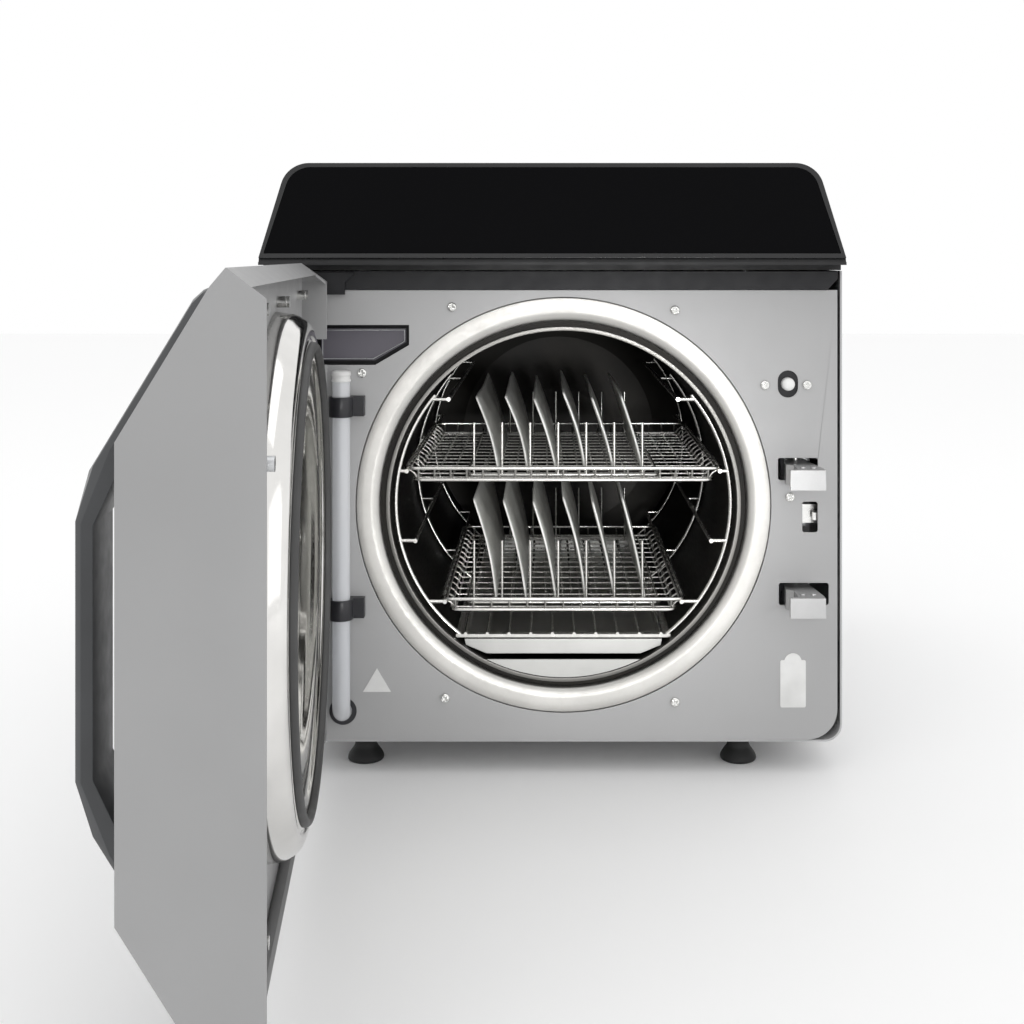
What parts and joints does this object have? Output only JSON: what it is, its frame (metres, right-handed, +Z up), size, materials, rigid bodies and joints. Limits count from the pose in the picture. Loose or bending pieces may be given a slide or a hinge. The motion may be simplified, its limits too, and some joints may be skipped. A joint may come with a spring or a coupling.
{
  "type": "benchtop autoclave",
  "caption": "Benchtop steam steriliser: grey cabinet, tilted black touch console, round steel chamber with wire baskets, and a thick side-hinged door standing open.",
  "frame": {"origin": "centre of the rectangle of the four feet, on the bench surface", "axes": "+X to the machine's right, +Y towards its back, +Z up; the front panel faces -Y"},
  "size_m": [0.4811, 1.0257, 0.4915],
  "materials": {
    "case_paint": "fine satin powder coat, light silver grey",
    "panel_paint": "satin powder coat, light grey",
    "door_paint": "satin powder coat, light grey",
    "console_plastic": "dark moulded plastic",
    "frame_plastic": "dark grey gloss",
    "black_glass": "glossy black touch surface",
    "band_plastic": "dark matt plastic",
    "chamber_steel": "stainless, brushed inside",
    "bright_steel": "polished stainless",
    "wire_steel": "electropolished stainless wire",
    "tray_aluminium": "satin aluminium",
    "zinc_steel": "zinc plated",
    "cast_latch": "cast, satin",
    "rubber_black": "matt black",
    "handle_plastic": "dark grey, soft sheen",
    "tube_silicone": "translucent white tube",
    "clip_plastic": "black nylon",
    "white_plastic": "white plastic",
    "pocket_plate": "dark violet grey",
    "insulation_felt": "needled glass felt",
    "brass": "turned brass",
    "board_green": "circuit board",
    "pouch_paper": "paper and clear film packs"
  },
  "bodies": {
    "cabinet": {"base_pan": "zinc_steel", "case_wrap": "case_paint", "chamber": "chamber_steel", "condenser_coil": "tray_aluminium", "console_housing": "console_plastic", "control_board": "board_green", "drain_port": "brass", "drain_tube": "tube_silicone", "fan_frame": "band_plastic", "fascia_frame": "frame_plastic", "fascia_glass": "black_glass", "feet": "rubber_black", "front_panel": "panel_paint", "heater_bands": "zinc_steel", "hinge_arms": "zinc_steel", "insulation": "insulation_felt", "label_plates": "white_plastic", "latch_bracket": "zinc_steel", "mouth_ring": "bright_steel", "panel_screws": "bright_steel", "power_inlet": "band_plastic", "rear_panel": "case_paint", "recess_pan": "band_plastic", "recess_plate": "pocket_plate", "reservoir_tank": "white_plastic", "saddles": "zinc_steel", "safety_valve": "brass", "seal_band": "band_plastic", "sill_plate": "tray_aluminium", "switch_guide": "band_plastic", "tube_clips": "clip_plastic", "tube_fitting": "white_plastic", "water_pump": "zinc_steel"},
    "door": {"door_shell": "door_paint", "door_inner_plate": "door_paint", "door_ring": "bright_steel", "door_gasket": "rubber_black", "door_bridge": "zinc_steel", "door_handle": "handle_plastic", "door_strikes": "zinc_steel", "door_screws": "bright_steel", "door_lugs": "zinc_steel", "hinge_pins": "bright_steel"},
    "latch": {"latch_shaft": "bright_steel", "lower_hook": "cast_latch", "upper_hook": "cast_latch"},
    "door_switch": {"switch_plunger": "white_plastic"},
    "door_lock": {"lock_tongue": "bright_steel"},
    "rack": {"chamber_rack": "wire_steel"},
    "upper_load": {"upper_basket": "wire_steel", "upper_divider": "wire_steel", "upper_pouches": "pouch_paper"},
    "lower_load": {"lower_basket": "wire_steel", "lower_divider": "wire_steel", "lower_pouches": "pouch_paper"},
    "tray": {"bottom_tray": "tray_aluminium"},
    "lid": {"fill_lid": "console_plastic"},
    "fan": {"fan_rotor": "band_plastic"},
    "rocker": {"power_rocker": "band_plastic"},
    "relief": {"valve_ring": "bright_steel"}
  },
  "joints": [
    {"name": "door_hinge", "type": "hinge", "parent": "cabinet", "child": "door", "pos_m": [-0.2046, -0.2988, 0.216], "axis": [0, 0, -1], "range_deg": [-84.54, 12]},
    {"name": "latch_swing", "type": "hinge", "parent": "cabinet", "child": "latch", "pos_m": [0.199, -0.243, 0.192], "axis": [0, 0, 1], "range_deg": [-8, 0]},
    {"name": "switch_press", "type": "slide", "parent": "cabinet", "child": "door_switch", "axis": [0, -1, 0], "range_m": [-0.004, 0], "stiffness_N_per_m": 400},
    {"name": "lock_slide", "type": "slide", "parent": "cabinet", "child": "door_lock", "axis": [1, 0, 0], "range_m": [-0.0065, 0]},
    {"name": "rack_slide", "type": "slide", "parent": "cabinet", "child": "rack", "axis": [0, -1, 0], "range_m": [0, 0.42]},
    {"name": "upper_slide", "type": "slide", "parent": "rack", "child": "upper_load", "axis": [0, -1, 0], "range_m": [0, 0.32]},
    {"name": "lower_slide", "type": "slide", "parent": "rack", "child": "lower_load", "axis": [0, -1, 0], "range_m": [0, 0.32]},
    {"name": "tray_slide", "type": "slide", "parent": "cabinet", "child": "tray", "axis": [0, -1, 0], "range_m": [0, 0.4]},
    {"name": "lid_hinge_turn", "type": "hinge", "parent": "cabinet", "child": "lid", "pos_m": [-0.065, 0.164, 0.488], "axis": [-1, 0, 0], "range_deg": [0, 100]},
    {"name": "fan_spin", "type": "hinge", "parent": "cabinet", "child": "fan", "pos_m": [0.15, 0.245, 0.11], "axis": [0, 1, 0], "continuous": true},
    {"name": "rocker_tilt", "type": "hinge", "parent": "cabinet", "child": "rocker", "pos_m": [-0.11, 0.258, 0.08], "axis": [1, 0, 0], "range_deg": [0, 10]},
    {"name": "relief_pull", "type": "slide", "parent": "cabinet", "child": "relief", "axis": [0, 1, 0], "range_m": [0, 0.004], "stiffness_N_per_m": 900}
  ]
}
